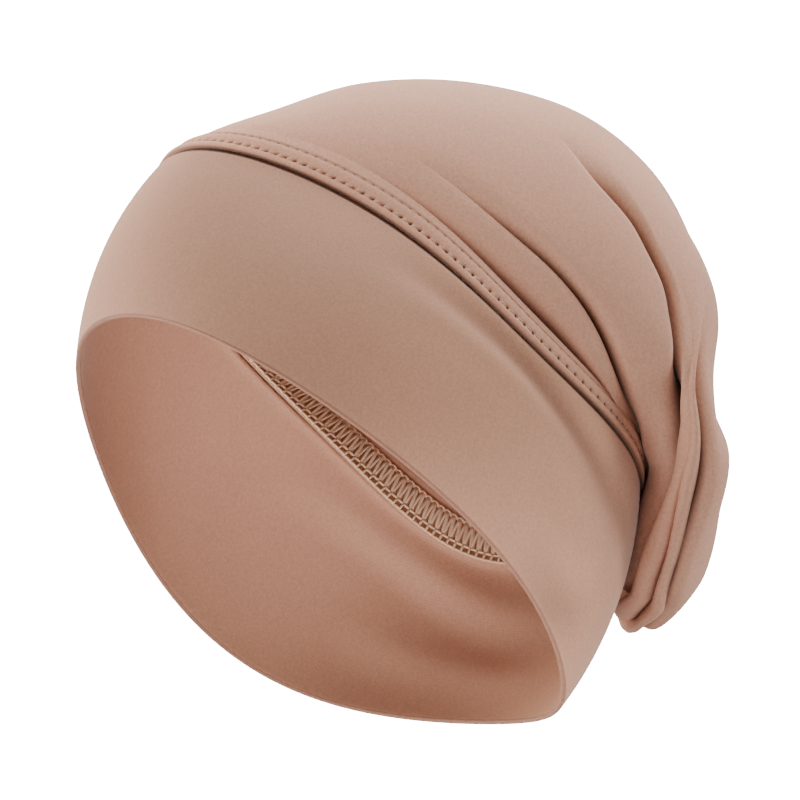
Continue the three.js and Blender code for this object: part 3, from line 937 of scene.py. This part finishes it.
def thread_nets(body, paths, normals, radius, sides=6):
    """Tubes along many paths of equal point count, with closed tapered ends."""
    run = unit(np.gradient(paths, axis=1))
    side = unit(np.cross(run, normals))
    up = np.cross(side, run)
    turn = np.linspace(0, 2 * np.pi, sides + 1)[:-1]
    count = paths.shape[1]
    size = np.full(count, radius)
    size[[0, -1]] *= 0.35
    rings = (
        paths[:, :, None]
        + side[:, :, None] * (np.cos(turn) * size[:, None])[None, ..., None]
        + up[:, :, None] * (np.sin(turn) * size[:, None])[None, ..., None]
    )
    index = body.add(rings)
    for net in index:
        wrapped = np.concatenate([net, net[:, :1]], 1)
        near, far = wrapped[:-1], wrapped[1:]
        quads = np.stack([near[:, :-1], near[:, 1:], far[:, 1:], far[:, :-1]], -1).reshape(-1, 4)
        body.faces += quads.tolist()
        body.faces.append(net[0][::-1].tolist())
        body.faces.append(net[-1].tolist())


def on_ridge(turns, distance, lift):
    """Points just over the crown's stitched ridge, with their normals."""
    base, normals = ridge_base(turns, distance)
    return base + normals * (ridge_height(distance) + lift)[..., None], normals


def even_turns(count, offset=0.0):
    """Turns at even spacing of thread along the seam."""
    fine = np.linspace(0, 2, 2001)
    length, whole = seam_metres(fine)
    return np.interp((np.arange(count) + offset) / count * whole, length, fine)


def turns_by_pitch(pitch, steps, offset=0.0):
    """Turns at the same steps, 0 to 1, of every pitch of thread along the seam."""
    _, whole = seam_metres(np.array([0.0]))
    place = even_turns(round(whole / pitch), offset)
    following = np.concatenate([place[1:], [place[0] + 2]])
    return place[:, None] + (following - place)[:, None] * steps[None]


# Points along one stitch and along one loop of the overlock
STITCH_POINTS = 9
LOOP_POINTS = 17


def topstitch(name, row, radius, high, sink, share):
    """One needle row: each stitch comes out of one hole, stands up by high, dives into the next by
    sink, and takes this share of its pitch."""
    turns = turns_by_pitch(NEEDLE_PITCH, np.linspace(0.5 - share / 2, 0.5 + share / 2, STITCH_POINTS))
    arch = np.sin(np.pi * np.linspace(0, 1, STITCH_POINTS)) ** 0.6
    lift = np.repeat((high * arch - sink * (1 - arch))[None], len(turns), 0)
    paths, normals = on_ridge(turns, np.full_like(turns, row), lift)
    body = Body()
    thread_nets(body, paths, normals, radius)
    piece = body.piece(name, STITCH_THREAD)
    return piece


topstitching = [
    topstitch("topstitch_first_row", FIRST_ROW, TOPSTITCH_THREAD * 1.2, high=0.2, sink=0.8, share=0.8),
    topstitch("topstitch_second_row", SECOND_ROW, TOPSTITCH_THREAD * 0.75, high=0.12, sink=0.3, share=0.94),
]


# Overlocked allowance on the inside of the ridge: three cut edges held by looper threads
ALLOWANCE_ROWS = np.array([-1.4, -0.8, 0.4, 2, 4, 6, 7.6, 8.8, 9.4])
ALLOWANCE_THICK = 1.3
ALLOWANCE_TURNS = 640
LOOP_PITCH = 3.0
# It lies flat under the band's top at its lower edge and nears the crown at its upper one
ALLOWANCE_LOW = -2.3
ALLOWANCE_HIGH = -0.7


def allowance_face(turns, distance, depth):
    """Points at a depth under the allowance's hidden face, with normals into the cap."""
    base, normals = ridge_base(turns, distance)
    share = (distance - ALLOWANCE_ROWS[0]) / (ALLOWANCE_ROWS[-1] - ALLOWANCE_ROWS[0])
    under = ALLOWANCE_LOW + (ALLOWANCE_HIGH - ALLOWANCE_LOW) * share - depth
    return base + normals * under[..., None], -normals


def make_allowance():
    turns = np.repeat(even_turns(ALLOWANCE_TURNS)[:, None], len(ALLOWANCE_ROWS), 1)
    distance = np.repeat(ALLOWANCE_ROWS[None], ALLOWANCE_TURNS, 0)
    middle = (ALLOWANCE_ROWS[0] + ALLOWANCE_ROWS[-1]) / 2
    half = (ALLOWANCE_ROWS[-1] - ALLOWANCE_ROWS[0]) / 2 + 0.1
    edge = np.sqrt(np.maximum(0, 1 - (np.abs(ALLOWANCE_ROWS - middle) / half) ** 6))
    upper, _ = allowance_face(turns, distance, np.zeros_like(turns) + (1 - edge) * 0.5)
    lower, _ = allowance_face(turns, distance, ALLOWANCE_THICK * (0.5 + 0.5 * edge)[None] + 0 * turns)
    body = Body()
    length, _ = seam_metres(turns)
    cloth = np.stack([length, distance], -1)
    net = np.concatenate([upper, lower[:, ::-1]], 1)
    index = body.add(net, np.concatenate([cloth, cloth[:, ::-1]], 1))
    body.join(index, True)
    body.join(np.stack([index[:, -1], index[:, 0]], -1), True)
    return body.piece("allowance_edges", OVERLOCK_CLOTH)


allowance = make_allowance()
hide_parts("seam_allowance")


def looper(name, shape, radius, offset=0.0):
    """One looper thread, repeated every loop pitch. shape gives its places over one pitch, as
    step along the seam, distance from the seam and height over the allowance."""
    steps = along_table(shape, np.linspace(0, 1, LOOP_POINTS))
    turns = turns_by_pitch(LOOP_PITCH, steps[:, 0], offset)
    distance = np.repeat(steps[None, :, 1], len(turns), 0)
    depth = np.repeat(ALLOWANCE_THICK + steps[None, :, 2], len(turns), 0)
    paths, normals = allowance_face(turns, distance, depth)
    body = Body()
    thread_nets(body, paths, normals, radius)
    piece = body.piece(name, OVERLOCK_THREAD)
    return piece


# Each overlock thread: its places over one pitch, its thickness as a share of the looper thread's,
# and how far along the pitch it starts
LOOPERS = {
    # step, distance, height
    "overlock_upper_looper": ([
        (0.0, 1.4, 0.05), (0.1, 3.4, 0.3), (0.2, 6, 0.42), (0.3, 8.4, 0.42), (0.5, 9.7, 0.15),
        (0.7, 8.4, 0.42), (0.8, 6, 0.42), (0.9, 3.4, 0.3), (1.0, 1.4, 0.05),
    ], 1, 0.0),
    "overlock_second_strand": ([
        (0.14, 1.5, 0.05), (0.2, 3.4, 0.5), (0.29, 6, 0.7), (0.37, 7.8, 0.7), (0.5, 8.9, 0.5),
        (0.63, 7.8, 0.7), (0.71, 6, 0.7), (0.8, 3.4, 0.5), (0.86, 1.5, 0.05),
    ], 0.9, 0.0),
    "overlock_lower_looper": ([
        (0.0, 1.4, 0.0), (0.25, 2.8, 0.15), (0.55, 5.2, 0.1), (0.8, 7.6, 0.12), (1.0, 9.3, 0.0),
        (1.15, 7.6, 0.12), (1.3, 5.2, 0.1), (1.4, 2.8, 0.15), (1.5, 1.4, 0.0),
    ], 0.8, 0.5),
    "overlock_edge_chain": ([
        (-0.15, 9.0, -0.2), (0.1, 9.7, 0.1), (0.3, 10, 0.25), (0.5, 10.1, 0.3), (0.7, 10, 0.25),
        (0.9, 9.7, 0.1), (1.15, 9.0, -0.2),
    ], 1, 0.0),
    "overlock_left_needle": ([
        (0.06, 1.5, -0.3), (0.2, 1.45, 0.35), (0.5, 1.4, 0.5), (0.8, 1.45, 0.35), (0.94, 1.5, -0.3),
    ], 1, 0.0),
    "overlock_right_needle": ([
        (0.06, -0.9, -0.3), (0.2, -0.95, 0.3), (0.5, -1, 0.45), (0.8, -0.95, 0.3), (0.94, -0.9, -0.3),
    ], 1, 0.0),
    "overlock_rungs": ([
        (0.0, 1.5, 0.1), (0.03, 0.8, 0.32), (0.06, 0, 0.32), (0.09, -0.9, 0.05),
    ], 1.1, 0.0),
}

loopers = [
    looper(name, shape, LOOPER_THREAD * share, offset)
    for name, (shape, share, offset) in LOOPERS.items()
]


# The floor's half width and its height, in metres
FLOOR_HALF = 3.0
FLOOR_HEIGHT = -3.2


def make_floor():
    """A plain pale floor, well below the cap, because the photograph looks up at it."""
    size = FLOOR_HALF
    below = FLOOR_HEIGHT
    mesh = bpy.data.meshes.new("floor")
    corners = [(-size, -size, below), (size, -size, below), (size, size, below), (-size, size, below)]
    mesh.from_pydata(corners, [], [(0, 1, 2, 3)])
    material, _, shader = new_material("matt pale floor")
    shader.inputs["Base Color"].default_value = colour("#f4f3f1")
    shader.inputs["Roughness"].default_value = 0.9
    mesh.materials.append(material)
    floor = bpy.data.objects.new("floor", mesh)
    bpy.context.scene.collection.objects.link(floor)


# Points in metres that the lights are aimed at: the cap's middle, and the inside through its opening
CAP_MIDDLE = (0, -0.02, -0.09)
INTO_CAP = (-0.02, -0.05, -0.13)


def soft_light(name, place, size, power, tint=WHITE, aim=CAP_MIDDLE, only=()):
    """A round soft light; where only names pieces, it lights those alone."""
    data = bpy.data.lights.new(name, "AREA")
    data.shape = "DISK"
    data.size = size
    data.energy = power
    data.color = colour(tint)[:3]
    light = bpy.data.objects.new(name, data)
    light.visible_camera = False
    light.location = place
    way = Vector(place) - Vector(aim)
    light.rotation_euler = way.to_track_quat("Z", "Y").to_euler()
    if only:
        lit = bpy.data.collections.new(name)
        for piece in only:
            lit.objects.link(piece)
        light.light_linking.receiver_collection = lit
    bpy.context.scene.collection.objects.link(light)


# The studio's soft light all round, and the white that its backdrop shows
AMBIENT = 0.2
BACKDROP = 24.0


def make_world():
    """A white studio: its backdrop is overexposed to pure white, and lights the cap far less."""
    world = bpy.data.worlds.new("white studio")
    world.use_nodes = True
    tree = world.node_tree
    ambient = tree.nodes["Background"]
    ambient.inputs["Color"].default_value = colour(WHITE)
    ambient.inputs["Strength"].default_value = AMBIENT
    backdrop = node(tree, "ShaderNodeBackground", {"Color": colour(WHITE), "Strength": BACKDROP})
    path = node(tree, "ShaderNodeLightPath")
    both = node(tree, "ShaderNodeMixShader", {
        0: path.outputs["Is Camera Ray"],
        1: ambient.outputs["Background"],
        2: backdrop.outputs["Background"],
    })
    tree.links.new(both.outputs["Shader"], tree.nodes["World Output"].inputs["Surface"])
    bpy.context.scene.world = world


# The photograph looks up at the cap's left side. The rim's middle lies at this place in the frame.
VIEW_AZIMUTH = math.radians(79.8)
VIEW_RISE = math.radians(-29.1)
VIEW_DISTANCE = 1377
PIXELS_PER_MM = 3.17
FRAME_PIXELS = 800
RIM_MIDDLE_PX = (310.5, 536.7)


def make_camera():
    a, e = VIEW_AZIMUTH, VIEW_RISE
    back = Vector((math.sin(a) * math.cos(e), -math.cos(a) * math.cos(e), math.sin(e)))
    right = Vector((math.cos(a), math.sin(a), 0))
    up = back.cross(right)
    rim = Vector((0, RIM["y"], RIM["z"]))
    place = rim + back * VIEW_DISTANCE
    across = (FRAME_PIXELS / 2 - RIM_MIDDLE_PX[0]) / PIXELS_PER_MM
    rise = (RIM_MIDDLE_PX[1] - FRAME_PIXELS / 2) / PIXELS_PER_MM
    aim = rim + right * across + up * rise
    way = place - aim
    z = way.normalized()
    x = up.cross(z).normalized()
    y = z.cross(x)
    data = bpy.data.cameras.new("camera")
    data.sensor_width = 36
    data.lens = PIXELS_PER_MM * way.length * data.sensor_width / FRAME_PIXELS
    data.clip_start = 0.05
    camera = bpy.data.objects.new("camera", data)
    camera.matrix_world = Matrix([
        (x.x, y.x, z.x, place.x * MM),
        (x.y, y.y, z.y, place.y * MM),
        (x.z, y.z, z.z, place.z * MM),
        (0, 0, 0, 1),
    ])
    bpy.context.scene.collection.objects.link(camera)
    bpy.context.scene.camera = camera


INSIDE = [band, allowance, *loopers]
make_floor()
make_world()
soft_light("front_of_brow", (-0.8, -1.1, 0.2), 0.9, 37, "#fff6ea")
soft_light("brow_fill", (0, -1.35, 0), 0.9, 6)
soft_light("above", (0.1, 0, 1.3), 0.9, 30)
soft_light("above_left", (0.9, 0, 0.95), 0.9, 7)
soft_light("behind_nape", (0.1, 1.1, 0.8), 0.8, 7)
soft_light("low_behind", (0.1, 1.35, -0.1), 0.8, 12)
soft_light("below", (0.2, -0.1, -0.98), 0.7, 4, "#f6f8ff", INTO_CAP)
soft_light("into_the_opening", (0.15, -0.2, -0.92), 0.6, 10.5, "#eff4ff", INTO_CAP, INSIDE)
soft_light("beside_the_opening", (1.0, 0, -0.95), 0.6, 2.5, aim=(-0.02, -0.09, -0.13), only=INSIDE)
soft_light("beside_the_crown", (0.8, -1.1, 0.1), 0.8, 12, only=[crown, *topstitching])
make_camera()
